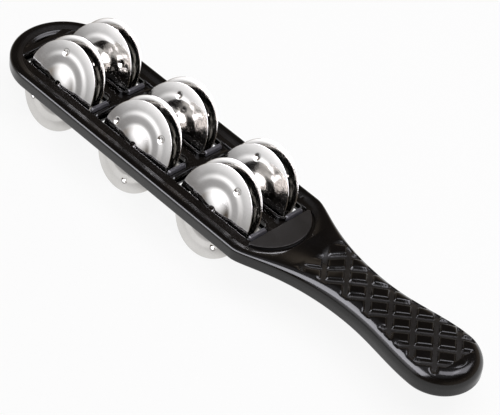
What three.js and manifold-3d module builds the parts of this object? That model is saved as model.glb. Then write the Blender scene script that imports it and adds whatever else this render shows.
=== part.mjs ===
// Jingle stick: a moulded black frame with six windows, three cross pins and twelve steel jingles in
// pairs, and a cover that closes the underside. Millimetres, +X from the head to the handle, +Z up,
// the origin at mid-length on the pins' level.
import * as THREE from "three";
import { mergeVertices } from "three/addons/utils/BufferGeometryUtils.js";
import Module from "manifold-3d";

// Jingles and their pins
const JINGLE_DIAMETER = 50.8;
const JINGLE_SHEET = 0.6;
const DOME_HEIGHT = 1.6;
const DOME_RADIUS = 10;
const RING_HEIGHT = 0.9;
const RING_RADIUS = 16;
const RING_STEP = 2.5;
const FLANGE_RISE = 0.5;
const PAIR_GAP = 6.9;
const LEAN = THREE.MathUtils.degToRad(28.5);
const PIN_DIAMETER = 2;
const PIN_SEAT = 3;
const CLEARANCE = 0.3;

// Head: rows of windows, ribs and margins
const ROWS = 3;
const JINGLE_END_CLEARANCE = 3.2;
const CROSS_RIB = 6.3;
const CENTRE_RIB = 10.6;
const SIDE_MARGIN = 11;
const HEAD_MARGIN = 17.2;
const WINDOW_CORNER = 2.5;
const COLLAR_WALL = 1.5;

// Heights above and below the pins' level
const RIM_TOP = 4.2;
const BOTTOM = -3.6;
const LEDGE_DROP = 0.8;
const FLOOR_SKIN = 0.6;
const WAIST_TOP = 7.4;
const BUTT_TOP = 8.6;
const CROWN = 1.2;

// Rim, tray and plateau
const RIM_WIDTH = 5.5;
const RIM_EDGE = 1;
const MOAT = 2;
const PLATEAU_GAP = 1.9;
const PLATEAU_DROP = 0.2;
const TRAY_SETBACK = 7;

// Neck and handle outline: lengths along the stick and half-widths across it
const SHOULDER_MARGIN = 0.5;
const NECK_LENGTH = 70;
const GRIP_LENGTH = 51.5;
const WAIST_HALF = 16.4;
const BUTT_HALF = 21.8;
const SHOULDER_HOLD = 9;
const NECK_HOLD = 42;
const WAIST_HOLD = 19;
const BUTT_HOLD = 17;
const HANDLE_EDGE = 4.5;
const UNDER_EDGE = 2;

// Crosshatch on the grip: two crossing sets of grooves, placed from one block's centre behind the waist
const STEEP_GROOVES = { pitch: 11.9, turn: THREE.MathUtils.degToRad(-48.8) };
const SHALLOW_GROOVES = { pitch: 10.3, turn: THREE.MathUtils.degToRad(42.7) };
const BLOCK_ALONG = 19.3;
const BLOCK_ASIDE = 4.5;
const GROOVE_WIDTH = 3;
const GROOVE_DEPTH = 0.9;
const GRIP_BORDER = 3.6;
const GRIP_START = 31;
const GRIP_END = 11;

// Cover and the hollow above it
const COVER_INSET = 6.5;
const COVER_WINDOW_MARGIN = 0.1;
const HANDLE_WALL = 3.2;
const HOLLOW_START = 36;
const HOLLOW_END = 6;
const HOLLOW_INSET = 8.5;

// Mesh fineness
const ARC_STEPS = 9;
const JINGLE_STEPS = 24;
const PIN_STEPS = 12;
const CORNER_STEPS = 3;
const CROWN_ROWS = 2;

// Sizes that follow from the ones above
const pinRadius = PIN_DIAMETER / 2;
const jingleRadius = JINGLE_DIAMETER / 2;
const ledgeTop = RIM_TOP - LEDGE_DROP;
const plateauTop = RIM_TOP - PLATEAU_DROP;
const slotTop = pinRadius + CLEARANCE;
const floorTop = slotTop + FLOOR_SKIN;
const coverTop = -pinRadius - CLEARANCE;
const coverCeiling = coverTop + CLEARANCE;
const frameDepth = Math.max(RIM_TOP, -BOTTOM);
const jingleReach = DOME_HEIGHT / Math.cos(LEAN) + frameDepth * Math.tan(LEAN);
const holeRadius = DOME_HEIGHT * Math.tan(LEAN) + (pinRadius + CLEARANCE) / Math.cos(LEAN);
const windowLength = JINGLE_DIAMETER + 2 * JINGLE_END_CLEARANCE;
const windowWidth = PAIR_GAP + 2 * (jingleReach + CLEARANCE);
const windowCentre = (CENTRE_RIB + windowWidth) / 2;
const windowOuter = CENTRE_RIB / 2 + windowWidth;
const headHalf = windowOuter + SIDE_MARGIN;
const rowPitch = windowLength + CROSS_RIB;
const firstRow = HEAD_MARGIN + windowLength / 2;
const lastRow = firstRow + (ROWS - 1) * rowPitch;
const shoulder = lastRow + windowLength / 2 + SHOULDER_MARGIN;
const waist = shoulder + NECK_LENGTH;
const butt = waist + GRIP_LENGTH;
const stickLength = butt + BUTT_HALF;
const cutReach = headHalf;
const trayHalf = headHalf - RIM_WIDTH;
const trayEnd = shoulder - TRAY_SETBACK;
const plateauStart = lastRow + windowLength / 2 + COLLAR_WALL + PLATEAU_GAP;
const pinHalfLength = windowOuter + PIN_SEAT;
const rowPositions = Array.from({ length: ROWS }, (_, row) => firstRow + row * rowPitch);

const wasm = await Module();
wasm.setup();

// A closed three.js geometry as a solid for joining and cutting
function solidOf(geometry) {
  const bare = geometry.index ? geometry.toNonIndexed() : geometry.clone();
  bare.deleteAttribute("normal");
  bare.deleteAttribute("uv");
  const merged = mergeVertices(bare, 1e-4);
  const corners = merged.index.array;
  const triangles = [];
  for (let i = 0; i < corners.length; i += 3) {
    const [a, b, c] = corners.slice(i, i + 3);
    if (a !== b && b !== c && c !== a) triangles.push(a, b, c);
  }
  return new wasm.Manifold(
    new wasm.Mesh({
      numProp: 3,
      vertProperties: merged.attributes.position.array,
      triVerts: new Uint32Array(triangles),
    }),
  );
}

function geometryOf(solid) {
  const mesh = solid.getMesh();
  const geometry = new THREE.BufferGeometry();
  geometry.setAttribute("position", new THREE.BufferAttribute(mesh.vertProperties, 3));
  geometry.setIndex(new THREE.BufferAttribute(mesh.triVerts, 1));
  geometry.computeVertexNormals();
  return geometry;
}

const joined = (solids) => solids.reduce((whole, piece) => whole.add(piece));

// An upright prism of a flat shape between two heights
function prism(shape, low, high, steps = ARC_STEPS) {
  const geometry = new THREE.ExtrudeGeometry(shape, {
    depth: high - low,
    bevelEnabled: false,
    curveSegments: steps,
  });
  return solidOf(geometry.translate(0, 0, low));
}

function boxBetween(x0, x1, y0, y1, z0, z1) {
  const box = new THREE.BoxGeometry(x1 - x0, y1 - y0, z1 - z0);
  return solidOf(box.translate((x0 + x1) / 2, (y0 + y1) / 2, (z0 + z1) / 2));
}

// A rectangle with rounded corners
function roundedRectangle(x0, x1, y0, y1, corner) {
  const shape = new THREE.Shape();
  shape.absarc(x1 - corner, y0 + corner, corner, -Math.PI / 2, 0);
  shape.absarc(x1 - corner, y1 - corner, corner, 0, Math.PI / 2);
  shape.absarc(x0 + corner, y1 - corner, corner, Math.PI / 2, Math.PI);
  shape.absarc(x0 + corner, y0 + corner, corner, Math.PI, 1.5 * Math.PI);
  return shape;
}

// The far half of the stick's outline, from the head's tip to the butt's tip
function halfOutline() {
  const path = new THREE.Path();
  path.absarc(headHalf, 0, headHalf, Math.PI, Math.PI / 2, true);
  path.lineTo(shoulder, headHalf);
  path.bezierCurveTo(
    shoulder + SHOULDER_HOLD, headHalf, waist - NECK_HOLD, WAIST_HALF, waist, WAIST_HALF,
  );
  path.bezierCurveTo(
    waist + WAIST_HOLD, WAIST_HALF, butt - BUTT_HOLD, BUTT_HALF, butt, BUTT_HALF,
  );
  path.absarc(butt, 0, BUTT_HALF, Math.PI / 2, 0, true);
  return path.getPoints(ARC_STEPS);
}

const outline = halfOutline();

// The outline's inward direction at a point, along X at the two tips
function inwardAt(i) {
  if (i === 0) return new THREE.Vector2(1, 0);
  if (i === outline.length - 1) return new THREE.Vector2(-1, 0);
  const along = outline[i + 1].clone().sub(outline[i - 1]).normalize();
  return new THREE.Vector2(along.y, -along.x);
}

function insetPoint(i, inset) {
  return outline[i].clone().addScaledVector(inwardAt(i), inset);
}

// The whole outline moved inwards, as a shape
function insetShape(inset) {
  const far = outline.map((_, i) => insetPoint(i, inset));
  const near = far.slice(1, -1).reverse().map((p) => new THREE.Vector2(p.x, -p.y));
  return new THREE.Shape([...far, ...near].reverse());
}

const ease = (x, from, to) => THREE.MathUtils.smoothstep(x, from, to);

// Heights and edge radii where the outline has a given X
function sectionAt(x) {
  const neck = ease(x, shoulder, waist);
  const grip = ease(x, waist, butt);
  const top = RIM_TOP + neck * (WAIST_TOP - RIM_TOP) + grip * (BUTT_TOP - WAIST_TOP);
  return {
    top,
    crown: neck * CROWN,
    topEdge: RIM_EDGE + neck * (HANDLE_EDGE - RIM_EDGE),
    underEdge: RIM_EDGE + grip * (UNDER_EDGE - RIM_EDGE),
  };
}

// One rib of points over the stick, from the underside's middle over the far side to the top's middle
function ribAt(i) {
  const section = sectionAt(outline[i].x);
  const quarter = [0, 45, 90].map(THREE.MathUtils.degToRad);
  const under = quarter.map((a) => ({
    inset: section.underEdge * (1 - Math.sin(a)),
    z: BOTTOM + section.underEdge * (1 - Math.cos(a)),
  }));
  const over = quarter.map((a) => ({
    inset: section.topEdge * (1 - Math.cos(a)),
    z: section.top - section.topEdge * (1 - Math.sin(a)),
  }));
  const side = [...under, ...over].map(({ inset, z }) => {
    const p = insetPoint(i, inset);
    return new THREE.Vector3(p.x, p.y, z);
  });
  const edge = side.at(-1);
  const crown = Array.from({ length: CROWN_ROWS }, (_, k) => {
    const share = 1 - (k + 1) / CROWN_ROWS;
    return new THREE.Vector3(edge.x, edge.y * share, edge.z + section.crown * (1 - share * share));
  });
  const middle = new THREE.Vector3(side[0].x, 0, BOTTOM);
  return [middle, ...side, ...crown];
}

// The stick's solid outer form, without the tray, windows and grip pattern
function blank() {
  const ribs = outline.map((_, i) => ribAt(i));
  const triangles = [];
  const mirrored = (p) => new THREE.Vector3(p.x, -p.y, p.z);
  for (let i = 0; i + 1 < ribs.length; i++) {
    for (let k = 0; k + 1 < ribs[i].length; k++) {
      const [a, b, c, d] = [ribs[i][k], ribs[i][k + 1], ribs[i + 1][k + 1], ribs[i + 1][k]];
      triangles.push(a, b, c, a, c, d);
      triangles.push(...[c, b, a, d, c, a].map(mirrored));
    }
  }
  return solidOf(new THREE.BufferGeometry().setFromPoints(triangles));
}

// A window's outline on one side, grown by a margin all round
function windowShape(x, side, margin) {
  return roundedRectangle(
    x - windowLength / 2 - margin,
    x + windowLength / 2 + margin,
    side * windowCentre - windowWidth / 2 - margin,
    side * windowCentre + windowWidth / 2 + margin,
    WINDOW_CORNER + margin,
  );
}

const windowPlaces = rowPositions.flatMap((x) => [-1, 1].map((side) => ({ x, side })));

// The tray's plan: straight sides between the round head end and the round neck end
function trayShape(inset) {
  const shape = new THREE.Shape();
  shape.absarc(trayEnd, 0, trayHalf - inset, -Math.PI / 2, Math.PI / 2);
  shape.absarc(headHalf, 0, trayHalf - inset, Math.PI / 2, 1.5 * Math.PI);
  return shape;
}

// The flat D-shaped plateau between the last row and the neck
function plateau() {
  const round = prism(trayShape(MOAT), floorTop - FLOOR_SKIN / 2, plateauTop);
  const span = boxBetween(plateauStart, stickLength, -headHalf, headHalf, BOTTOM, cutReach);
  return round.intersect(span);
}

// The ledges along the windows' outer sides
function ledges() {
  const inner = prism(trayShape(0), floorTop - FLOOR_SKIN / 2, ledgeTop);
  const start = firstRow - windowLength / 2 - COLLAR_WALL;
  const strips = [-1, 1].map((side) => {
    const [y0, y1] = [side * windowOuter, side * headHalf].sort((a, b) => a - b);
    return boxBetween(start, plateauStart + PLATEAU_GAP, y0, y1, BOTTOM, cutReach);
  });
  return inner.intersect(joined(strips));
}

// Crossing grooves on the grip, as deep as GROOVE_DEPTH below the crowned surface
function gripGrooves(body) {
  const [start, end] = [shoulder + GRIP_START, stickLength - GRIP_END];
  const bars = [];
  for (const { pitch, turn } of [STEEP_GROOVES, SHALLOW_GROOVES]) {
    const count = Math.ceil((end - start) / pitch);
    for (let n = -count; n <= count; n++) {
      const bar = new THREE.BoxGeometry(2 * stickLength, GROOVE_WIDTH, cutReach);
      bar.translate(0, (n + 0.5) * pitch, cutReach / 2);
      bars.push(solidOf(bar.rotateZ(turn).translate(waist + BLOCK_ALONG, BLOCK_ASIDE, 0)));
    }
  }
  const field = prism(insetShape(GRIP_BORDER), 0, cutReach);
  const span = boxBetween(start, end, -headHalf, headHalf, 0, cutReach);
  const lowered = body.translate([0, 0, -GROOVE_DEPTH]);
  return joined(bars).intersect(field.intersect(span)).subtract(lowered);
}

// The hollow inside the handle, open to the underside
function handleHollow() {
  const field = prism(insetShape(HOLLOW_INSET), BOTTOM, WAIST_TOP - HANDLE_WALL);
  const [start, end] = [shoulder + HOLLOW_START, stickLength - HOLLOW_END];
  return field.intersect(boxBetween(start, end, -headHalf, headHalf, BOTTOM, cutReach));
}

// The slot that holds one pin, open to the underside
function pinSlot(x) {
  const half = pinRadius + CLEARANCE;
  const reach = pinHalfLength + CLEARANCE;
  return boxBetween(x - half, x + half, -reach, reach, BOTTOM, slotTop);
}

function frameGeometry() {
  const body = blank();
  const tray = prism(trayShape(0), floorTop, cutReach);
  const collars = windowPlaces.map(({ x, side }) => {
    const low = floorTop - FLOOR_SKIN / 2;
    return prism(windowShape(x, side, COLLAR_WALL), low, RIM_TOP, CORNER_STEPS);
  });
  const raised = joined([...collars, ledges(), plateau()]);
  const windows = windowPlaces.map(({ x, side }) =>
    prism(windowShape(x, side, 0), -cutReach, cutReach, CORNER_STEPS),
  );
  const coverSeat = prism(insetShape(COVER_INSET), -cutReach, coverCeiling);
  const cuts = [...windows, coverSeat, handleHollow(), ...rowPositions.map(pinSlot)];
  return geometryOf(
    body.subtract(gripGrooves(body)).subtract(tray).add(raised).subtract(joined(cuts)),
  );
}

function coverGeometry() {
  const plate = prism(insetShape(COVER_INSET + CLEARANCE), BOTTOM, coverTop);
  const windows = windowPlaces.map(({ x, side }) =>
    prism(windowShape(x, side, COVER_WINDOW_MARGIN), -cutReach, cutReach, CORNER_STEPS),
  );
  return geometryOf(plate.subtract(joined(windows)));
}

// A jingle turned about its own Y axis: rim centred on the XZ plane, dome towards +Y, a hole at the top
function jingleGeometry() {
  const outer = [
    [jingleRadius, JINGLE_SHEET / 2],
    [RING_RADIUS + RING_STEP, FLANGE_RISE],
    [RING_RADIUS, RING_HEIGHT],
    [DOME_RADIUS + RING_STEP, RING_HEIGHT],
    [DOME_RADIUS, (RING_HEIGHT + DOME_HEIGHT) / 2],
    [holeRadius, DOME_HEIGHT],
  ];
  const inner = outer.map(([r, h]) => [r, h - JINGLE_SHEET]).reverse();
  const profile = [...outer, ...inner, outer[0]].map(([r, h]) => new THREE.Vector2(r, h));
  return new THREE.LatheGeometry(profile, JINGLE_STEPS);
}

const blackPlastic = { color: 0x0e0c0b, roughness: 0.22, metalness: 0 };
const steel = { color: 0xd9d8dc, roughness: 0.12, metalness: 1 };

function piece(name, geometry, look) {
  const mesh = new THREE.Mesh(geometry, new THREE.MeshStandardMaterial(look));
  mesh.name = name;
  return mesh;
}

// A pair of jingles in one window, domes outwards, both leaning over to the far side
function jinglePair(row, x, side) {
  const pair = new THREE.Group();
  pair.position.set(x, side * windowCentre, 0);
  for (const facing of [-1, 1]) {
    const place = facing === side ? "outer" : "inner";
    const name = `jingle_${row}_${side < 0 ? "near" : "far"}_${place}`;
    const jingle = piece(name, jingleGeometry(), steel);
    jingle.position.y = (facing * PAIR_GAP) / 2;
    jingle.rotation.x = facing < 0 ? Math.PI - LEAN : -LEAN;
    pair.add(jingle);
  }
  return pair;
}

const stick = new THREE.Group();
stick.position.x = -stickLength / 2;
stick.add(piece("frame", frameGeometry(), blackPlastic));
stick.add(piece("back_cover", coverGeometry(), blackPlastic));
rowPositions.forEach((x, row) => {
  const pin = piece(
    `pin_${row + 1}`,
    new THREE.CylinderGeometry(pinRadius, pinRadius, 2 * pinHalfLength, PIN_STEPS),
    steel,
  );
  pin.position.x = x;
  stick.add(pin);
  stick.add(jinglePair(row + 1, x, -1), jinglePair(row + 1, x, 1));
});

const jingleStick = new THREE.Group();
jingleStick.add(stick);

export default jingleStick;
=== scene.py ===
import math

import bmesh
import bpy
from mathutils import Matrix, Vector


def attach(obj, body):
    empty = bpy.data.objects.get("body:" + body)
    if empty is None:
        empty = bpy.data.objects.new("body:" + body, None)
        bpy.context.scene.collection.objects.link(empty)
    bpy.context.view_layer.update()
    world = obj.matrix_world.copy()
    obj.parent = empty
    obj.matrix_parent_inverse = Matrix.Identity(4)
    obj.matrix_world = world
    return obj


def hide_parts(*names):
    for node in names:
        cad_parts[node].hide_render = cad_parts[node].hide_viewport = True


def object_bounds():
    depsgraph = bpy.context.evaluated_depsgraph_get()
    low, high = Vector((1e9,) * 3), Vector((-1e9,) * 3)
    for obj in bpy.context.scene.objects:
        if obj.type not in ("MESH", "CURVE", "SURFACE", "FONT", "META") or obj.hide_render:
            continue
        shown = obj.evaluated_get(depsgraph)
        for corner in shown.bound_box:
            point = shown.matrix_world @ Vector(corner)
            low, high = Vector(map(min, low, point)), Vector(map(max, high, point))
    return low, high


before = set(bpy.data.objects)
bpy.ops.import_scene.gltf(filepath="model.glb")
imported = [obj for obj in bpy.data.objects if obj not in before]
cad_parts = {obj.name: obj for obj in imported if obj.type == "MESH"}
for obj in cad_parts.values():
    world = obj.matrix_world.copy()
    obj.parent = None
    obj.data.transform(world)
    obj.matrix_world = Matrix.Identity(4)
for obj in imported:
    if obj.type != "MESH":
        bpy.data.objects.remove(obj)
cad_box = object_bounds()

# Sizes are in millimetres. X runs from the head's tip, Y from the middle line, Z from the pins' level.
MM = 0.001

# Plan: a head with straight sides, a neck and a waisted grip. The holds shape the curves between them.
SHOULDER, WAIST, BUTT = 201.9, 271.9, 323.4
HEAD_HALF, WAIST_HALF, BUTT_HALF = 32.0, 16.4, 21.8
SHOULDER_HOLD, NECK_HOLD, WAIST_HOLD, BUTT_HOLD = 9.0, 42.0, 19.0, 17.0
LENGTH = BUTT + BUTT_HALF
HEAD_STEPS, SIDE_STEPS, NECK_STEPS, GRIP_STEPS, BUTT_STEPS = 56, 70, 170, 150, 90

# Heights
BOTTOM, COVER_TOP, FLOOR_TOP = -3.6, -1.3, 1.9
LEDGE_TOP, PLATE_TOP, RIM_TOP = 3.4, 4.0, 4.2
DISH_TOP, WAIST_TOP, BUTT_TOP, CROWN = 3.1, 8.4, 9.5, 0.25

# Shell: a rounded edge that grows towards the handle, over a straight wall and a small under edge
RIM_WIDTH, BEAD_WIDTH = 7.8, 3.2
HEAD_EDGE, HANDLE_EDGE = 1.7, 7.6
UNDER_HEAD_EDGE, UNDER_BUTT_EDGE = 1.0, 2.0
UNDER_STEPS, WALL_STEPS, EDGE_STEPS, TOP_ROWS = 6, 4, 12, 54
SKIRT, WELD = 0.5, 0.002

# Top of the shell inside its edge: the fall to the tray, the dish before the neck and the rise to the grip
TRAY_DROP, SOFT_START = 0.15, 0.3
DISH_START, NECK_START, MIDDLE_START = 210.0, 225.0, WAIST - 20.0
RISE_START, RISE_END = 222.0, 262.0
ROUND_START, ROUND_END = 238.0, 268.0
# The first is the share of the fall that is duller and painted lighter as sheen, the others where on the
# fall it starts and ends.
FALL_SATIN_SHEEN, SATIN_START, SATIN_END = 0.6, 0.1, 0.5

# Back cover, let into a rebate of the shell
SEAM_INSET, COVER_INSET, SEAM_GAP, REBATE = 6.5, 6.75, 0.25, 1.0
COVER_MARGIN, COVER_CORNER, COVER_UNDER = 0.6, 6.5, 0.3

# Windows and their collars
ROWS = (45.8, 109.3, 172.8)
WINDOW_LENGTH, WINDOW_WIDTH, WINDOW_CENTRE = 57.2, 15.69, 13.147
WINDOW_OUTER = WINDOW_CENTRE + WINDOW_WIDTH / 2
WINDOW_CORNER, LEAST_CORNER, DOME_ROOM = 2.5, 0.05, 0.7
COLLAR_WALL, COLLAR_TOP, COLLAR_ROUND, COLLAR_BASE = 1.5, 4.3, 0.4, -1.0
COLLAR_SINK, COLLAR_FALL, COLLAR_LOW = 0.7, 3.4, 1.2

# Tray: tucks and the foot are how far a piece runs under or into its neighbour
TRAY_END, TRAY_HALF, MOAT_RADIUS = 194.9, 26.5, 26.4
FLOOR_TUCK, LEDGE_TUCK, PLATE_TUCK, MIDDLE_TUCK, FOOT = 0.4, 0.3, 1.2, 0.6, 0.4
FLOOR_GAP, FINE_ROUND = 0.3, 0.2
LEDGE_LIP, LEDGE_CORNER, LEDGE_ROUND, LEDGE_STEPS = 20.0, 3.0, 0.35, 60

# Pocket behind the head's rim, with a square edge
POCKET_RADIUS, POCKET_CHORD, POCKET_SLOPE = 24.7, 12.3, 2.6
POCKET_DRAW, POCKET_TIP_TURN, POCKET_TIP = 0.3, 3.0, 1.3
POCKET_BOW_STEPS, POCKET_CHORD_STEPS, POCKET_RINGS = 44, 16, 9
POCKET_EDGE = [(0.0, 0.0001)]

# Bare plate before the neck
PLATE_START, PLATE_RADIUS, PLATE_ROUND = 204.8, 24.6, 0.45
PLATE_TIP_TURN, PLATE_TIP = 2.0, 0.8
PLATE_BOW_STEPS, PLATE_CHORD_STEPS = 72, 20

# Ridged bars at the windows' ends
BAR_LENGTH, BAR_WIDTH, BAR_TOP, BAR_BASE = 12.6, 2.3, 4.75, 0.4
BAR_FLAT, BAR_TIP_HALF = 0.7, 0.02
RIDGE_PITCH, RIDGE_HEIGHT = 0.9, 0.13
BAR_STEPS_ALONG, BAR_STEPS_ACROSS = 98, 12

# Grip: two crossing sets of grooves, each a pitch and a turn, with fades at the field's borders
GROOVES = ((11.9, math.radians(-48.8)), (10.3, math.radians(42.7)))
BLOCK_X, BLOCK_Y = WAIST + 19.3, 4.5
GROOVE_HALF, GROOVE_DEPTH, BLOCK_ROUND = 1.3, 1.6, 1.6
GROOVE_FLOOR_IN, GROOVE_FLOOR_OUT = -0.1, 0.35
GRIP_START, GRIP_END, NEAR_BORDER, FAR_BORDER = 232.0, 334.2, 4.7, 3.2
BORDER_OUTSIDE, BORDER_INSIDE, START_FADE, END_FADE = 0.6, 0.7, 7.0, 0.9

# Pins
PIN_RADIUS, PIN_HALF, PIN_CHAMFER, PIN_TIP, PIN_STEPS = 1.0, 23.99, 0.3, 0.05, 32

# Jingles: a flange that bows back to a bevelled rim, a soft step, a dome and three dimples
JINGLE_RADIUS, HOLE_RADIUS, SHEET, PAIR_GAP = 25.4, 2.65, 0.75, 6.9
LEAN = math.radians(28.5)
RIM_FACE, FLANGE_SLOPE, BOW_START, BOW_SLOPE = 0.3, 0.02, 18.5, 0.07
STEP_RADIUS, STEP_WIDTH, STEP_SLOPE = 18.2, 1.3, 0.1
DOME_RADIUS, DOME_BLEND, DOME_SLOPE = 13.4, 4.0, 0.022
BEVEL_START, BEVEL_DEPTH = 22.4, 0.38
RIM_ROUND, BEVEL_ROUND, HOLE_ROUND = 0.05, 0.02, 0.15
DENT_COUNT, DENT_ORBIT, DENT_RADIUS, DENT_DEPTH = 3, 18.6, 2.2, 0.8

# Turns of the dimples in degrees, by row and side, and how much further the far-facing jingle's are turned
DENT_TURNS = {
    (1, -1): 107, (2, -1): 43, (3, -1): 64,
    (1, 1): 38, (2, 1): 104, (3, 1): 107,
}
PARTNER_TURN = {-1: 71, 1: 60}

# Rings over a jingle's face: close together at the rim and the hole, even over the flange and the dome
RIM_INSETS = (0.08, 0.3, 0.6, 1.0, 1.4, 1.8, 2.2, 2.6, 3.2, 3.9)
FLANGE_OUTER, FLANGE_PITCH, FLANGE_RINGS = 20.8, 0.42, 13
DOME_OUTER, DOME_PITCH, DOME_RINGS = 15.2, 0.55, 22
HOLE_OUTSETS = (0.6, 0.3, 0.1)
JINGLE_STEPS, PROFILE_STEP = 216, 0.05


def mix(a, b, t):
    return a + (b - a) * t


def ease(x, low, high):
    """A smooth step, from 0 at low to 1 at high."""
    t = min(1.0, max(0.0, (x - low) / (high - low)))
    return t * t * (3 - 2 * t)


# Materials

# Most values of a noise lie between these
NOISE_LOW, NOISE_HIGH = 0.3, 0.7


def node_material(name):
    material = bpy.data.materials.new(name)
    material.use_nodes = True
    tree = material.node_tree
    shader = tree.nodes["Principled BSDF"]
    place = tree.nodes.new("ShaderNodeTexCoord").outputs["Object"]
    return material, tree, shader, place


def noise(tree, place, scale, detail, stretch=None):
    node = tree.nodes.new("ShaderNodeTexNoise")
    node.inputs["Scale"].default_value = scale
    node.inputs["Detail"].default_value = detail
    if stretch:
        mapping = tree.nodes.new("ShaderNodeMapping")
        mapping.inputs["Scale"].default_value = stretch
        tree.links.new(place, mapping.inputs["Vector"])
        place = mapping.outputs["Vector"]
    tree.links.new(place, node.inputs["Vector"])
    return node.outputs["Fac"]


def spread(tree, value, low, high, start=NOISE_LOW, end=NOISE_HIGH):
    """Maps a value between start and end to one between low and high."""
    node = tree.nodes.new("ShaderNodeMapRange")
    node.inputs["From Min"].default_value = start
    node.inputs["From Max"].default_value = end
    node.inputs["To Min"].default_value = low
    node.inputs["To Max"].default_value = high
    tree.links.new(value, node.inputs["Value"])
    return node.outputs["Result"]


def ramp(tree, value, *stops):
    """A colour ramp through (position, colour) stops."""
    node = tree.nodes.new("ShaderNodeValToRGB")
    elements = node.color_ramp.elements
    for position, colour in stops[1:-1]:
        elements.new(position).color = (*colour, 1.0)
    for element, (position, colour) in zip((elements[0], elements[-1]), (stops[0], stops[-1])):
        element.position = position
        element.color = (*colour, 1.0)
    tree.links.new(value, node.inputs["Fac"])
    return node.outputs["Color"]


def add(tree, a, b):
    node = tree.nodes.new("ShaderNodeMath")
    node.operation = "ADD"
    tree.links.new(a, node.inputs[0])
    tree.links.new(b, node.inputs[1])
    return node.outputs["Value"]


def blend(tree, share, first, second):
    """Mixes two colours, with the second one's share from 0 to 1."""
    node = tree.nodes.new("ShaderNodeMix")
    node.data_type = "RGBA"
    tree.links.new(share, node.inputs["Factor"])
    tree.links.new(first, node.inputs["A"])
    tree.links.new(second, node.inputs["B"])
    return node.outputs["Result"]


def bump(tree, shader, heights):
    """Stacks (height, distance) bumps on a shader's normal, with distances in metres."""
    last = None
    for height, distance in heights:
        node = tree.nodes.new("ShaderNodeBump")
        node.inputs["Distance"].default_value = distance
        tree.links.new(height, node.inputs["Height"])
        if last:
            tree.links.new(last, node.inputs["Normal"])
        last = node.outputs["Normal"]
    tree.links.new(last, shader.inputs["Normal"])


# Plastic's index of refraction and tone, what its grooves add (more roughness and a lighter tone that is
# painted sheen), and the depths of bumps in metres
PLASTIC_IOR = 1.48
TONE_START, TONE_END = NOISE_LOW, 0.75
GROOVE_ROUGHER, GROOVE_SHEEN_CLOUD = 0.22, 1.25
CLOUD_BUMP, BUFF_BUMP = 0.00002, 0.0000015


def black_plastic(name, dark, light, rough, grain, grain_scale, groove=None):
    """Moulded plastic: cloudy gloss, fine scuffs and a skin of grain, duller by the groove attribute, which
    also blends in the groove colour, a painted sheen.
    """
    material, tree, shader, place = node_material(name)
    cloud = noise(tree, place, scale=55, detail=4)
    scuff = noise(tree, place, scale=260, detail=6, stretch=(0.15, 1.0, 1.0))
    skin = noise(tree, place, scale=grain_scale, detail=2)
    tone = ramp(tree, cloud, (TONE_START, dark), (TONE_END, light))
    gloss = spread(tree, cloud, *rough)
    roughness = add(tree, gloss, spread(tree, scuff, low=0.0, high=0.06, start=0.55, end=0.75))
    if groove:
        attribute = tree.nodes.new("ShaderNodeAttribute")
        attribute.attribute_name = "groove"
        share = attribute.outputs["Fac"]
        duller = spread(tree, share, low=0.0, high=GROOVE_ROUGHER, start=0.0, end=1.0)
        roughness = add(tree, roughness, duller)
        # The groove colour is painted sheen: a lighter tone standing in for light that the duller groove
        # floors gather.
        cloudy = tuple(GROOVE_SHEEN_CLOUD * c for c in groove)
        tone = blend(tree, share, tone, ramp(tree, cloud, (TONE_START, groove), (TONE_END, cloudy)))
    tree.links.new(tone, shader.inputs["Base Color"])
    tree.links.new(roughness, shader.inputs["Roughness"])
    shader.inputs["IOR"].default_value = PLASTIC_IOR
    bump(tree, shader, ((skin, grain), (cloud, CLOUD_BUMP)))
    return material


def polished_steel(name, dark, light, rough, ripple):
    """Polished sheet steel: a faint hammered ripple, fine buffing lines and cloudy polish."""
    material, tree, shader, place = node_material(name)
    shader.inputs["Metallic"].default_value = 1.0
    cloud = noise(tree, place, scale=90, detail=4)
    wave = noise(tree, place, scale=90, detail=1)
    buff = noise(tree, place, scale=1500, detail=2, stretch=(0.05, 1.0, 1.0))
    tone = ramp(tree, cloud, (NOISE_LOW, dark), (NOISE_HIGH, light))
    roughness = add(tree, spread(tree, cloud, *rough), spread(tree, buff, low=0.0, high=0.03))
    tree.links.new(tone, shader.inputs["Base Color"])
    tree.links.new(roughness, shader.inputs["Roughness"])
    bump(tree, shader, ((wave, ripple), (buff, BUFF_BUMP)))
    return material


# The groove colour here is painted sheen, lighter than the plastic, laid on the grip's groove floors and
# the rim's fall to the tray.
GLOSS = black_plastic(
    "moulded_gloss", dark=(0.0032, 0.0026, 0.0024), light=(0.0058, 0.0048, 0.0044),
    rough=(0.12, 0.18), grain=0.000002, grain_scale=2600, groove=(0.011, 0.0095, 0.0085),
)
SATIN = black_plastic(
    "moulded_satin", dark=(0.005, 0.004, 0.0034), light=(0.009, 0.0073, 0.0062),
    rough=(0.15, 0.22), grain=0.00001, grain_scale=1700,
)
GRAINED = black_plastic(
    "moulded_grain", dark=(0.013, 0.0115, 0.0105), light=(0.02, 0.0175, 0.016),
    rough=(0.36, 0.46), grain=0.00006, grain_scale=1100,
)
# The end bars' lavender grey is a painted highlight: the softbox's reflection painted into the black
# plastic's colour.
RIDGES_PAINTED_HIGHLIGHT = black_plastic(
    "ridges_painted_highlight", dark=(0.075, 0.074, 0.085), light=(0.115, 0.113, 0.13),
    rough=(0.22, 0.3), grain=0.00001, grain_scale=1600,
)
STEEL = polished_steel(
    "polished_jingle", dark=(0.6, 0.588, 0.57), light=(0.68, 0.667, 0.65),
    rough=(0.07, 0.11), ripple=0.000006,
)
WIRE = polished_steel(
    "drawn_wire", dark=(0.6, 0.59, 0.6), light=(0.74, 0.73, 0.74),
    rough=(0.16, 0.26), ripple=0.00001,
)


# Mesh helpers


def to_frame(point):
    """A point in millimetres from the head's tip, as metres in the frame."""
    return ((point[0] - LENGTH / 2) * MM, point[1] * MM, point[2] * MM)


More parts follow.
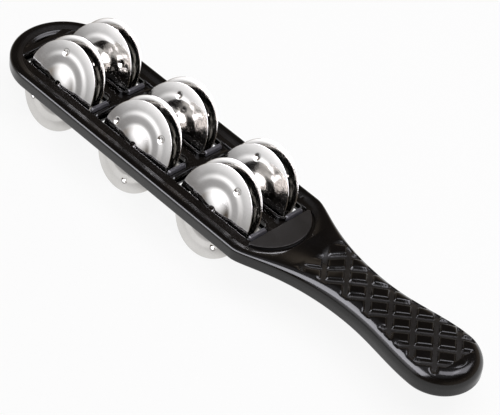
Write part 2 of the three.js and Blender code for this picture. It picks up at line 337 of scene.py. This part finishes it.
def new_piece(name, bm, material, body):
    mesh = bpy.data.meshes.new(name)
    bm.to_mesh(mesh)
    bm.free()
    mesh.materials.append(material)
    piece = bpy.data.objects.new(name, mesh)
    bpy.context.scene.collection.objects.link(piece)
    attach(piece, body)
    return piece


def arc(centre, radius, start, end, steps):
    """Points on an arc, angles in degrees, both ends included."""
    angles = [math.radians(mix(start, end, k / steps)) for k in range(steps + 1)]
    return [(centre[0] + radius * math.cos(a), centre[1] + radius * math.sin(a)) for a in angles]


def chord(x, start, end, steps):
    """Points on a straight line across the stick, both ends included."""
    return [(x, mix(start, end, k / steps)) for k in range(steps + 1)]


def stadium(x0, x1, radius, steps=40):
    """A closed loop with round ends about two centres, drawn in by an inset."""
    def loop(inset):
        r = radius - inset
        return arc((x1, 0), r, -90, 90, steps) + arc((x0, 0), r, 90, 270, steps)
    return loop


def rounded(x0, x1, y0, y1, corner, steps=8):
    """A rectangle with round corners, drawn in by an inset."""
    def loop(inset):
        r = max(LEAST_CORNER, corner - inset)
        a, b, c, d = x0 + inset + r, x1 - inset - r, y0 + inset + r, y1 - inset - r
        return (
            arc((b, c), r, -90, 0, steps)
            + arc((b, d), r, 0, 90, steps)
            + arc((a, d), r, 90, 180, steps)
            + arc((a, c), r, 180, 270, steps)
        )
    return loop


def window(row, side, grow=0.0, corner=WINDOW_CORNER):
    """A window's outline, with room on its far side for the domes."""
    y = side * WINDOW_CENTRE
    half_x, half_y = WINDOW_LENGTH / 2 + grow, WINDOW_WIDTH / 2 + grow
    return rounded(row - half_x, row + half_x, y - half_y, y + half_y + DOME_ROOM, corner)


WINDOWS = [(row, side) for row in ROWS for side in (-1, 1)]


def ring(bm, points):
    return [bm.verts.new(to_frame(point)) for point in points]


def level_ring(bm, loop, z):
    return ring(bm, [(x, y, z) for x, y in loop])


def ring_walls(bm, rings, flip):
    """Smooth walls between closed rings of vertices."""
    for low, high in zip(rings, rings[1:]):
        count = len(low)
        for i in range(count):
            j = (i + 1) % count
            corners = (low[i], low[j], high[j], high[i])
            face = bm.faces.new(corners[::-1] if flip else corners)
            face.smooth = True


def ring_edges(bm, ring_vertices):
    others = ring_vertices[1:] + ring_vertices[:1]
    return [bm.edges.get(pair) for pair in zip(ring_vertices, others)]


def round_edge(size, steps=4):
    """An edge's (inset, drop) points, from the wall up to the flat top."""
    angles = [math.radians(90 * k / steps) for k in range(steps + 1)]
    return [(size * (1 - math.cos(a)), size * (1 - math.sin(a))) for a in angles]


def slab(bm, outer, holes, low, high, edge, under=0.0):
    """A plate between two heights, with holes.

    The outline and each hole have their own upper edge of (inset, drop) points, and share the under edge.
    """
    foot = [(0.0, low)]
    if under:
        foot = [(inset, low + drop) for inset, drop in round_edge(under)[::-1]]
    tops, bottoms = [], []
    for loop, points in [(outer, edge)] + holes:
        hole = loop is not outer
        sections = foot + [(inset, high - drop) for inset, drop in points]
        rings = [level_ring(bm, loop(-inset if hole else inset), z) for inset, z in sections]
        ring_walls(bm, rings, hole)
        tops += ring_edges(bm, rings[-1])
        bottoms += ring_edges(bm, rings[0])
    for edges, faces_up in ((tops, 1), (bottoms, -1)):
        made = bmesh.ops.triangle_fill(bm, use_beauty=True, edges=edges, normal=(0, 0, 1))
        for face in made["geom"]:
            if isinstance(face, bmesh.types.BMFace):
                face.normal_update()
                if face.normal.z * faces_up < 0:
                    face.normal_flip()
                face.smooth = False


# Shell: rim, neck and handle


def bezier(a, b, c, d, steps):
    """Points on a cubic curve, without its first."""
    points = []
    for k in range(1, steps + 1):
        t = k / steps
        s = 1 - t
        points.append(tuple(
            s ** 3 * a[n] + 3 * s * s * t * b[n] + 3 * s * t * t * c[n] + t ** 3 * d[n]
            for n in (0, 1)
        ))
    return points


def half_outline():
    """The far half of the plan, from the head's tip to the butt's tip."""
    points = arc((HEAD_HALF, 0), HEAD_HALF, 180, 90, HEAD_STEPS)
    points += [(mix(HEAD_HALF, SHOULDER, k / SIDE_STEPS), HEAD_HALF) for k in range(1, SIDE_STEPS + 1)]
    points += bezier(
        (SHOULDER, HEAD_HALF), (SHOULDER + SHOULDER_HOLD, HEAD_HALF),
        (WAIST - NECK_HOLD, WAIST_HALF), (WAIST, WAIST_HALF), NECK_STEPS,
    )
    points += bezier(
        (WAIST, WAIST_HALF), (WAIST + WAIST_HOLD, WAIST_HALF),
        (BUTT - BUTT_HOLD, BUTT_HALF), (BUTT, BUTT_HALF), GRIP_STEPS,
    )
    return points + arc((BUTT, 0), BUTT_HALF, 90, 0, BUTT_STEPS)[1:]


OUTLINE = half_outline()
TRAY_TURN = next(i for i, (x, _) in enumerate(OUTLINE) if x >= TRAY_END)
MIDDLE_TURN = next(i for i, (x, _) in enumerate(OUTLINE) if x >= MIDDLE_START)


def inward(i):
    """The direction into the plan at one of the outline's points."""
    if i == 0:
        return 1.0, 0.0
    if i == len(OUTLINE) - 1:
        return -1.0, 0.0
    (x0, y0), (x1, y1) = OUTLINE[i - 1], OUTLINE[i + 1]
    size = math.hypot(x1 - x0, y1 - y0)
    return (y1 - y0) / size, -(x1 - x0) / size


def inset_point(i, inset):
    (x, y), (u, v) = OUTLINE[i], inward(i)
    return x + u * inset, y + v * inset


def outline_loop(inset):
    """The whole plan drawn in, as a closed loop of every second point."""
    far = [inset_point(i, inset) for i in range(0, len(OUTLINE), 2)]
    near = [(x, -y) for x, y in far[1:-1]]
    return far[:1] + near + far[:0:-1]


def groove_share(x, y):
    """How deep the grip is cut, from 0 on a block to 1 in a groove, and the share of groove floor."""
    deepest, floor = 0.0, 0.0
    for pitch, turn in GROOVES:
        across = (y - BLOCK_Y) * math.cos(turn) - (x - BLOCK_X) * math.sin(turn)
        away = abs((across / pitch) % 1.0 - 0.5) * pitch - GROOVE_HALF
        climb = 1 - min(1.0, max(0.0, away / BLOCK_ROUND))
        deepest = max(deepest, 1 - math.sqrt(1 - climb * climb))
        floor = max(floor, 1 - ease(away, GROOVE_FLOOR_IN, GROOVE_FLOOR_OUT))
    return deepest, floor


def grip_cut(x, y, inset):
    """How far the grip pattern lowers a point, and its share of groove floor."""
    border = NEAR_BORDER if y < 0 else FAR_BORDER
    field = (
        ease(inset, border - BORDER_OUTSIDE, border + BORDER_INSIDE)
        * ease(x, GRIP_START, GRIP_START + START_FADE)
        * (1 - ease(x, GRIP_END - END_FADE, GRIP_END))
    )
    if field == 0:
        return 0.0, 0.0
    depth, floor = groove_share(x, y)
    return field * GROOVE_DEPTH * depth, field * floor


def section(x):
    """The shell's heights and edges at a place along the stick."""
    neck, grip = ease(x, SHOULDER, WAIST), ease(x, WAIST, BUTT)
    return {
        "top": RIM_TOP + neck * (WAIST_TOP - RIM_TOP) + grip * (BUTT_TOP - WAIST_TOP),
        "crown": neck * CROWN,
        "edge": mix(HEAD_EDGE, HANDLE_EDGE, neck),
        "under": mix(UNDER_HEAD_EDGE, UNDER_BUTT_EDGE, grip),
        "bead": mix(BEAD_WIDTH - HEAD_EDGE, 0.0, neck),
    }


def side_profile(under, edge, top):
    """(inset, height) points from the cover's seam, round the under edge and up to the top."""
    ceiling = COVER_TOP + SEAM_GAP
    points = [(SEAM_INSET + REBATE, ceiling), (SEAM_INSET, ceiling)]
    points += [(SEAM_INSET, BOTTOM + SEAM_GAP), (SEAM_INSET - SEAM_GAP, BOTTOM)]
    points += [(drop, BOTTOM + inset) for inset, drop in round_edge(under, UNDER_STEPS)]
    low, high = BOTTOM + under, top - edge
    points += [(0.0, mix(low, high, k / WALL_STEPS)) for k in range(1, WALL_STEPS)]
    return points + [(inset, top - drop) for inset, drop in round_edge(edge, EDGE_STEPS)]


def inner_end(i, edge):
    """Where the top of a rib ends: at the tray's wall, round the plate, or on the middle line."""
    if i <= TRAY_TURN:
        return inset_point(i, RIM_WIDTH)
    if i >= MIDDLE_TURN:
        return edge[0], 0.0
    t = (i - TRAY_TURN) / (MIDDLE_TURN - TRAY_TURN)
    stop = inset_point(MIDDLE_TURN, section(OUTLINE[MIDDLE_TURN][0])["edge"])[0]
    bend = MOAT_RADIUS * math.pi / 2
    way = t * (bend + stop - TRAY_END - MOAT_RADIUS)
    if way > bend:
        return TRAY_END + MOAT_RADIUS + way - bend, 0.0
    a = math.pi / 2 - way / MOAT_RADIUS
    radius = mix(HEAD_HALF - RIM_WIDTH, MOAT_RADIUS, ease(way, 0, bend / 2))
    return TRAY_END + radius * math.cos(a), radius * math.sin(a)


def fall_share(inner, along):
    """How far the top has fallen or risen at a share of its way in: straight, S-shaped, then crowned."""
    soft = inner * inner / (2 * SOFT_START) if inner < SOFT_START else inner - SOFT_START / 2
    straight = soft / (1 - SOFT_START / 2)
    fall = mix(straight, ease(inner, 0, 1), ease(along, TRAY_END, NECK_START))
    return mix(fall, 1 - (1 - inner) ** 2, ease(along, ROUND_START, ROUND_END))


def rib(i, side):
    """(point, satin share) pairs over one side of the shell, from the seam to the tray or the middle; the
    share dulls the plastic and paints it the lighter groove colour as sheen.
    """
    along = OUTLINE[i][0]
    sizes = section(along)
    top, edge_size, bead = sizes["top"], sizes["edge"], sizes["bead"]
    points = []
    for inset, z in side_profile(sizes["under"], edge_size, top):
        x, y = inset_point(i, inset)
        cut, share = grip_cut(x, side * y, inset) if z > 0 else (0.0, 0.0)
        points.append(((x, side * y, z - cut), share))
    edge = inset_point(i, edge_size)
    end = inner_end(i, edge)
    width = math.dist(edge, end)
    tray_level = mix(LEDGE_TOP - TRAY_DROP, DISH_TOP, ease(along, TRAY_END, DISH_START))
    end_top = mix(tray_level, top + sizes["crown"], ease(along, RISE_START, RISE_END))
    # On the fall to the tray the share makes the plastic duller and paints it the lighter groove colour, a
    # painted sheen.
    fall_satin_sheen = FALL_SATIN_SHEEN * (1 - ease(along, TRAY_END, NECK_START))
    for k in range(1, TOP_ROWS + 1):
        t = k / TOP_ROWS
        x, y = mix(edge[0], end[0], t), mix(edge[1], end[1], t)
        away = t * width
        inner = max(0.0, (away - bead) / (width - bead)) if width > bead else 0.0
        cut, share = grip_cut(x, side * y, edge_size + away)
        share = max(share, fall_satin_sheen * ease(inner, SATIN_START, SATIN_END))
        z = mix(top, end_top, fall_share(inner, along)) - cut
        points.append(((x, side * y, z), share))
    x, y, z = points[-1][0]
    on_middle = i > TRAY_TURN and end[1] == 0
    points.append(((x, y, z if on_middle else FLOOR_TOP - SKIRT), 0.0))
    return points


def shell():
    bm = bmesh.new()
    # The groove attribute: where the plastic is duller and painted the lighter groove colour as sheen.
    groove = bm.verts.layers.float.new("groove")
    for side in (1, -1):
        rows = []
        for i in range(len(OUTLINE)):
            row = []
            for point, share in rib(i, side):
                vertex = bm.verts.new(to_frame(point))
                vertex[groove] = share
                row.append(vertex)
            rows.append(row)
        for a, b in zip(rows, rows[1:]):
            for k in range(len(a) - 1):
                corners = (a[k], a[k + 1], b[k + 1], b[k])
                face = bm.faces.new(corners if side > 0 else corners[::-1])
                face.smooth = True
    bmesh.ops.remove_doubles(bm, verts=bm.verts, dist=WELD * MM)
    return bm


frame_shell = new_piece("frame_shell", shell(), GLOSS, "stick")
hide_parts("frame")


# Tray: floor, ledges, collars, plate and bars


def tray_floor():
    bm = bmesh.new()
    edge = round_edge(FINE_ROUND)
    outline = stadium(HEAD_HALF, TRAY_END, TRAY_HALF + FLOOR_TUCK)
    holes = [(window(row, side), edge) for row, side in WINDOWS]
    slab(bm, outline, holes, COVER_TOP + FLOOR_GAP, FLOOR_TOP, edge)
    return bm


def pocket(inset):
    """The crescent behind the head's rim: a bow closed by a chord, drawn in by an inset."""
    radius, x = POCKET_RADIUS - inset, POCKET_CHORD - POCKET_DRAW * inset
    reach = math.degrees(math.acos((HEAD_HALF - x) / radius)) - POCKET_TIP_TURN
    bow = arc((HEAD_HALF, 0), radius, 180 - reach, 180 + reach, POCKET_BOW_STEPS)
    near, far = bow[-1][1] + POCKET_TIP, bow[0][1] - POCKET_TIP
    return bow + chord(x, near, far, POCKET_CHORD_STEPS)


def ledge_outline(inset):
    """The tray's round head end and straight sides, cut off square under the plate."""
    radius, stop = TRAY_HALF + LEDGE_TUCK - inset, PLATE_START + PLATE_TUCK - inset
    return arc((HEAD_HALF, 0), radius, 90, 270, LEDGE_STEPS) + [(stop, -radius), (stop, radius)]


def ledges():
    """The band between the rim and the windows, and the bowl of the pocket."""
    bm = bmesh.new()
    start = ROWS[0] - WINDOW_LENGTH / 2 - COLLAR_WALL
    stop, far_side = PLATE_START + MIDDLE_TUCK, WINDOW_OUTER + DOME_ROOM
    middle = rounded(start, stop, -LEDGE_LIP, far_side, LEDGE_CORNER)
    holes = [(middle, round_edge(LEDGE_ROUND)), (pocket, POCKET_EDGE)]
    slab(bm, ledge_outline, holes, FLOOR_TOP - FOOT, LEDGE_TOP, round_edge(FINE_ROUND))
    rings = []
    for k in range(POCKET_RINGS + 1):
        t = k / POCKET_RINGS
        rings.append(level_ring(bm, pocket(POCKET_SLOPE * t), mix(LEDGE_TOP, FLOOR_TOP, ease(t, 0, 1))))
    ring_walls(bm, rings, False)
    bm.faces.new(rings[-1])
    return bm


def collar_top(y):
    """Collars stand up on the inner side of a window and run down under the ledge on the outer."""
    sunk = ease(abs(y), WINDOW_OUTER - COLLAR_FALL, WINDOW_OUTER - COLLAR_LOW)
    return mix(COLLAR_TOP, LEDGE_TOP - COLLAR_SINK, sunk)


def collars():
    """A wall with a rounded top round each window."""
    bm = bmesh.new()
    inner = round_edge(COLLAR_ROUND)
    outer = [(COLLAR_WALL - drop, inset) for inset, drop in inner]
    for row, side in WINDOWS:
        outline = window(row, side)
        rings = [level_ring(bm, outline(0.0), COLLAR_BASE)]
        for grow, drop in inner + outer:
            rings.append(ring(bm, [(x, y, collar_top(y) - drop) for x, y in outline(-grow)]))
        rings.append(level_ring(bm, outline(-COLLAR_WALL), FLOOR_TOP - FOOT))
        ring_walls(bm, rings, True)
    return bm


def plate_outline(inset):
    """A bow round the tray's end, closed by a chord and drawn in by an inset."""
    radius, x = PLATE_RADIUS - inset, PLATE_START + inset
    reach = math.degrees(math.acos((x - TRAY_END) / radius)) - PLATE_TIP_TURN
    bow = arc((TRAY_END, 0), radius, -reach, reach, PLATE_BOW_STEPS)
    far, near = bow[-1][1] - PLATE_TIP, bow[0][1] + PLATE_TIP
    return bow + chord(x, far, near, PLATE_CHORD_STEPS)


def bare_plate():
    """The D-shaped plate before the neck."""
    bm = bmesh.new()
    slab(bm, plate_outline, [], FLOOR_TOP - FOOT, PLATE_TOP, round_edge(PLATE_ROUND))
    return bm


def bar_height(v, t):
    """Height of an end bar at v along it and a share t across it, from -1 to 1."""
    rim = max(abs(t), abs(v) / (BAR_LENGTH / 2))
    ridge = RIDGE_HEIGHT * (0.5 + 0.5 * math.cos(2 * math.pi * v / RIDGE_PITCH))
    body = 1 - max(0.0, (rim - BAR_FLAT) / (1 - BAR_FLAT)) ** 3
    return mix(FLOOR_TOP + BAR_BASE, BAR_TOP - ridge * (1 - abs(t) ** 4), body)


def bar_half(v):
    """Half the width of an end bar at v along it, with round ends."""
    past = max(0.0, abs(v) - (BAR_LENGTH - BAR_WIDTH) / 2)
    return math.sqrt(max(BAR_TIP_HALF ** 2, (BAR_WIDTH / 2) ** 2 - past ** 2))


def end_bars():
    """Ridged bars on the handle-side ends of the windows."""
    bm = bmesh.new()
    for row, side in WINDOWS:
        x_mid, y_mid = row + WINDOW_LENGTH / 2 + BAR_WIDTH / 2, side * WINDOW_CENTRE
        grid = []
        for i in range(BAR_STEPS_ALONG + 1):
            v = (i / BAR_STEPS_ALONG - 0.5) * BAR_LENGTH
            shares = [2 * j / BAR_STEPS_ACROSS - 1 for j in range(BAR_STEPS_ACROSS + 1)]
            grid.append(ring(bm, [(x_mid + t * bar_half(v), y_mid + v, bar_height(v, t)) for t in shares]))
        for a, b in zip(grid, grid[1:]):
            for j in range(BAR_STEPS_ACROSS):
                face = bm.faces.new((a[j], a[j + 1], b[j + 1], b[j]))
                face.smooth = True
    return bm


for name, build, material in (
    ("tray_floor", tray_floor, SATIN),
    ("side_ledges", ledges, SATIN),
    ("window_collars", collars, GLOSS),
    ("bare_plate", bare_plate, GRAINED),
    ("end_bars", end_bars, RIDGES_PAINTED_HIGHLIGHT),
):
    new_piece(name, build(), material, "stick")


# Back cover and pins


def cover_outline(inset):
    return outline_loop(COVER_INSET + inset)


def cover():
    bm = bmesh.new()
    edge = round_edge(FINE_ROUND)
    holes = [(window(row, side, COVER_MARGIN, COVER_CORNER), edge) for row, side in WINDOWS]
    slab(bm, cover_outline, holes, BOTTOM, COVER_TOP, edge, COVER_UNDER)
    return bm


back = new_piece("back_cover_plate", cover(), SATIN, "stick")
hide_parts("back_cover")


def pin(row):
    """A wire pin along Y with chamfered ends."""
    bm = bmesh.new()
    end = [
        (PIN_TIP, PIN_HALF), (PIN_RADIUS - PIN_CHAMFER, PIN_HALF), (PIN_RADIUS, PIN_HALF - PIN_CHAMFER),
    ]
    profile = [(radius, -y) for radius, y in end] + [(PIN_RADIUS, 0.0)] + end[::-1]
    turns = [2 * math.pi * k / PIN_STEPS for k in range(PIN_STEPS)]
    rings = []
    for radius, y in profile:
        rings.append(ring(bm, [(row + radius * math.cos(a), y, radius * math.sin(a)) for a in turns]))
    ring_walls(bm, rings, False)
    bmesh.ops.holes_fill(bm, edges=bm.edges)
    bmesh.ops.recalc_face_normals(bm, faces=bm.faces)
    return bm


for number, row in enumerate(ROWS, 1):
    piece = new_piece(f"cross_pin_{number}", pin(row), WIRE, "stick")
    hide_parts(f"pin_{number}")


# Jingles


def slope(radius):
    """How steeply a jingle's outer face climbs inwards: a bowed flange, a soft step and a dome."""
    flange = FLANGE_SLOPE * min(1.0, radius / DOME_RADIUS)
    bow = BOW_SLOPE * max(0.0, (radius - BOW_START) / (JINGLE_RADIUS - BOW_START))
    step = STEP_SLOPE * math.exp(-((radius - STEP_RADIUS) / STEP_WIDTH) ** 2)
    dome = DOME_SLOPE * radius * (1 - ease(radius, DOME_RADIUS - DOME_BLEND, DOME_RADIUS))
    return flange + bow + step + dome


# Heights of the outer face over the rim plane, in even steps from the rim inwards
PROFILE = [RIM_FACE]
for k in range(int(JINGLE_RADIUS / PROFILE_STEP)):
    PROFILE.append(PROFILE[-1] + PROFILE_STEP * slope(JINGLE_RADIUS - (k + 0.5) * PROFILE_STEP))


def dish(radius):
    """Height of a jingle's outer face over its rim plane."""
    place = (JINGLE_RADIUS - radius) / PROFILE_STEP
    k = min(int(place), len(PROFILE) - 2)
    return mix(PROFILE[k], PROFILE[k + 1], place - k)


def hollow(radius):
    """Height of the inner face, which has no bow and is bevelled away at the rim."""
    bow = max(0.0, radius - BOW_START) ** 2 * BOW_SLOPE / (JINGLE_RADIUS - BOW_START) / 2
    bevel = max(0.0, (radius - BEVEL_START) / (JINGLE_RADIUS - BEVEL_START))
    return dish(radius) - SHEET + bow + BEVEL_DEPTH * bevel ** 2


def jingle_profile():
    """A closed section of (radius, height) points: outer face, hole, inner face and rim."""
    radii = [JINGLE_RADIUS - inset for inset in RIM_INSETS]
    radii += [FLANGE_OUTER - FLANGE_PITCH * k for k in range(FLANGE_RINGS)]
    radii += [DOME_OUTER - DOME_PITCH * k for k in range(DOME_RINGS)]
    radii += [HOLE_RADIUS + outset for outset in HOLE_OUTSETS]
    front = [(r, dish(r)) for r in radii]
    rear = [(r, hollow(r)) for r in radii[::-1]]
    lip = dish(HOLE_RADIUS)
    hole = [(HOLE_RADIUS, lip - HOLE_ROUND), (HOLE_RADIUS, lip - SHEET + HOLE_ROUND)]
    rim_front = (JINGLE_RADIUS, dish(JINGLE_RADIUS) - RIM_ROUND)
    rim_rear = (JINGLE_RADIUS, hollow(JINGLE_RADIUS) + BEVEL_ROUND)
    return [rim_front] + front + hole + rear + [rim_rear]


JINGLE_PROFILE = jingle_profile()


def dent(point, spots):
    """How deep a jingle's dimples are at a point of its face."""
    away = min(math.dist(point, spot) for spot in spots) / DENT_RADIUS
    return DENT_DEPTH * (0.5 + 0.5 * math.cos(math.pi * min(1.0, away)))


def jingle(row_number, side, facing):
    """One dished disc on its pin, its top leaning to the far side, with its dome towards its facing."""
    centre = Vector((ROWS[row_number - 1], side * WINDOW_CENTRE + facing * PAIR_GAP / 2, 0))
    along, up = Vector((1, 0, 0)), Vector((0, math.sin(LEAN), math.cos(LEAN)))
    axis = Vector((0, math.cos(LEAN), -math.sin(LEAN))) * facing
    start = DENT_TURNS[row_number, side] + (PARTNER_TURN[side] if facing > 0 else 0)
    dent_turns = [math.radians(start + 360 / DENT_COUNT * k) for k in range(DENT_COUNT)]
    spots = [(DENT_ORBIT * math.cos(a), DENT_ORBIT * math.sin(a)) for a in dent_turns]
    turns = [2 * math.pi * k / JINGLE_STEPS for k in range(JINGLE_STEPS)]
    bm = bmesh.new()
    rings = []
    for radius, height in JINGLE_PROFILE:
        points = []
        for a in turns:
            x, y = radius * math.cos(a), radius * math.sin(a)
            points.append(centre + along * x + up * y + axis * (height - dent((x, y), spots)))
        rings.append(ring(bm, points))
    ring_walls(bm, rings + rings[:1], False)
    bmesh.ops.recalc_face_normals(bm, faces=bm.faces)
    return bm


for number in range(1, len(ROWS) + 1):
    for side, side_name in ((-1, "near"), (1, "far")):
        for facing in (-1, 1):
            place_name = "outer" if facing == side else "inner"
            node = f"jingle_{number}_{side_name}_{place_name}"
            piece = new_piece(
                f"dished_{node}", jingle(number, side, facing), STEEL, node,
            )
            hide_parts(node)


# Floor, light and camera, in metres

FLOOR_HALF, FLOOR_CLEARANCE = 6.0, 0.0002
FLOOR_COLOUR, FLOOR_SHARE = (0.92, 0.92, 0.92, 1), 0.9

# Walls as (height, colour) stops, where height is the Z of a direction
FRONT_LEFT = (
    (0.0, (1.0, 1.0, 1.0)), (0.04, (0.5, 0.49, 0.49)), (0.085, (0.24, 0.23, 0.23)),
    (0.14, (0.58, 0.58, 0.59)), (0.22, (1.25, 1.25, 1.28)), (0.3, (1.9, 1.9, 1.95)),
    (0.5, (1.9, 1.9, 1.95)), (0.7, (0.25, 0.25, 0.27)), (0.78, (0.05, 0.047, 0.047)),
    (0.93, (0.35, 0.35, 0.37)),
)
FRONT_RIGHT = (
    (0.0, (0.8, 0.79, 0.78)), (0.05, (0.34, 0.3, 0.26)), (0.12, (0.11, 0.085, 0.06)),
    (0.6, (0.07, 0.057, 0.044)), (0.76, (0.03, 0.026, 0.022)), (0.93, (0.35, 0.35, 0.37)),
)
BACK = (
    (0.0, (0.7, 0.67, 0.64)), (0.05, (0.4, 0.34, 0.28)), (0.35, (0.28, 0.23, 0.18)),
    (0.5, (0.09, 0.075, 0.06)), (0.74, (0.03, 0.026, 0.022)), (0.93, (0.35, 0.35, 0.37)),
)

# Where the walls meet: the X from left to right and the Y from front to back of a direction
LEFT_END, RIGHT_START = -0.45, -0.15
FRONT_END, BACK_START = -0.7, -0.42

# The camera's lens and sensor are in millimetres
CAMERA_PLACE = (0.65543, -0.72293, 0.87047)
CAMERA_TARGET = (0.00985, 0.00074, 0.0)
CAMERA_ROLL = math.radians(8.03)
CAMERA_LENS, CAMERA_SENSOR = 177.383, 36.0
CLIP_START, CLIP_END = 0.05, 30.0


def floor_material():
    """White to the camera and to mirrors, with a share of matt that keeps the shadow, clear from below."""
    material = bpy.data.materials.new("white_floor")
    material.use_nodes = True
    tree = material.node_tree
    tree.nodes.clear()
    make = tree.nodes.new
    ray, face = make("ShaderNodeLightPath"), make("ShaderNodeNewGeometry")
    glow, matt = make("ShaderNodeEmission"), make("ShaderNodeBsdfDiffuse")
    clear, out = make("ShaderNodeBsdfTransparent"), make("ShaderNodeOutputMaterial")
    top, sides = make("ShaderNodeMixShader"), make("ShaderNodeMixShader")
    seen, all_seen, share = make("ShaderNodeMath"), make("ShaderNodeMath"), make("ShaderNodeMath")
    seen.operation = all_seen.operation = "MAXIMUM"
    share.operation = "MULTIPLY"
    share.inputs[1].default_value = FLOOR_SHARE
    glow.inputs["Strength"].default_value = 1.0
    matt.inputs["Color"].default_value = FLOOR_COLOUR
    for a, b in (
        (ray.outputs["Is Camera Ray"], seen.inputs[0]),
        (ray.outputs["Is Glossy Ray"], seen.inputs[1]),
        (seen.outputs[0], all_seen.inputs[0]),
        (ray.outputs["Is Transmission Ray"], all_seen.inputs[1]),
        (all_seen.outputs[0], share.inputs[0]),
        (share.outputs[0], top.inputs["Fac"]),
        (matt.outputs[0], top.inputs[1]),
        (glow.outputs[0], top.inputs[2]),
        (face.outputs["Backfacing"], sides.inputs["Fac"]),
        (top.outputs[0], sides.inputs[1]),
        (clear.outputs[0], sides.inputs[2]),
        (sides.outputs[0], out.inputs["Surface"]),
    ):
        tree.links.new(a, b)
    return material


def studio_floor():
    """A square floor just under the object's lowest point."""
    z = cad_box[0][2] - FLOOR_CLEARANCE
    bm = bmesh.new()
    corners = [(-FLOOR_HALF, -FLOOR_HALF), (FLOOR_HALF, -FLOOR_HALF)]
    corners += [(FLOOR_HALF, FLOOR_HALF), (-FLOOR_HALF, FLOOR_HALF)]
    bm.faces.new([bm.verts.new((x, y, z)) for x, y in corners])
    mesh = bpy.data.meshes.new("floor")
    bm.to_mesh(mesh)
    bm.free()
    mesh.materials.append(floor_material())
    floor = bpy.data.objects.new("floor", mesh)
    bpy.context.scene.collection.objects.link(floor)


def studio_world():
    """A bright wall at the front left and dim warm ones elsewhere, dark at the top under a grey ceiling."""
    world = bpy.data.worlds.new("studio")
    world.use_nodes = True
    bpy.context.scene.world = world
    tree = world.node_tree
    way = tree.nodes.new("ShaderNodeTexCoord")
    parts = tree.nodes.new("ShaderNodeSeparateXYZ")
    tree.links.new(way.outputs["Generated"], parts.inputs[0])
    left, right, back_wall = [ramp(tree, parts.outputs["Z"], *w) for w in (FRONT_LEFT, FRONT_RIGHT, BACK)]
    to_right = spread(tree, parts.outputs["X"], low=0.0, high=1.0, start=LEFT_END, end=RIGHT_START)
    to_back = spread(tree, parts.outputs["Y"], low=0.0, high=1.0, start=FRONT_END, end=BACK_START)
    walls = blend(tree, to_back, blend(tree, to_right, left, right), back_wall)
    tree.links.new(walls, tree.nodes["Background"].inputs["Color"])


def softbox(name, place, size, radiance, colour, mirrored=True, lights=True):
    """A rectangular lamp aimed at the origin, seen in gloss if mirrored, on matt surfaces if lights."""
    light = bpy.data.lights.new(name, "AREA")
    light.shape = "RECTANGLE"
    light.size, light.size_y = size
    light.energy = radiance * math.pi * size[0] * size[1]
    light.color = colour
    lamp = bpy.data.objects.new(name, light)
    bpy.context.scene.collection.objects.link(lamp)
    lamp.location = place
    lamp.rotation_euler = (-Vector(place)).to_track_quat("-Z", "Y").to_euler()
    lamp.visible_glossy, lamp.visible_diffuse = mirrored, lights


def studio_camera():
    data = bpy.data.cameras.new("camera")
    data.sensor_width, data.lens = CAMERA_SENSOR, CAMERA_LENS
    data.clip_start, data.clip_end = CLIP_START, CLIP_END
    camera = bpy.data.objects.new("camera", data)
    bpy.context.scene.collection.objects.link(camera)
    camera.location = CAMERA_PLACE
    look = (Vector(CAMERA_TARGET) - camera.location).to_track_quat("-Z", "Y").to_matrix().to_4x4()
    camera.rotation_euler = (look @ Matrix.Rotation(CAMERA_ROLL, 4, "Z")).to_euler()
    bpy.context.scene.camera = camera


studio_floor()
studio_world()
softbox(
    "side_box", place=(-0.38, -0.8, 0.89), size=(1.4, 0.7), radiance=9.0, colour=(0.93, 0.925, 1.0),
    lights=False,
)
softbox("back_box", place=(0.4, 0.58, 0.97), size=(0.6, 0.5), radiance=4.0, colour=(0.93, 0.92, 1.0))
softbox(
    "head_box", place=(0.25, 0.2, 1.15), size=(0.55, 0.55), radiance=4.5, colour=(0.93, 0.92, 1.0),
    lights=False,
)
softbox(
    "top_fill", place=(0.1, 0.0, 1.6), size=(1.6, 1.6), radiance=1.8, colour=(1.0, 1.0, 1.0),
    mirrored=False,
)
studio_camera()
bpy.context.scene.view_settings.view_transform = "Standard"
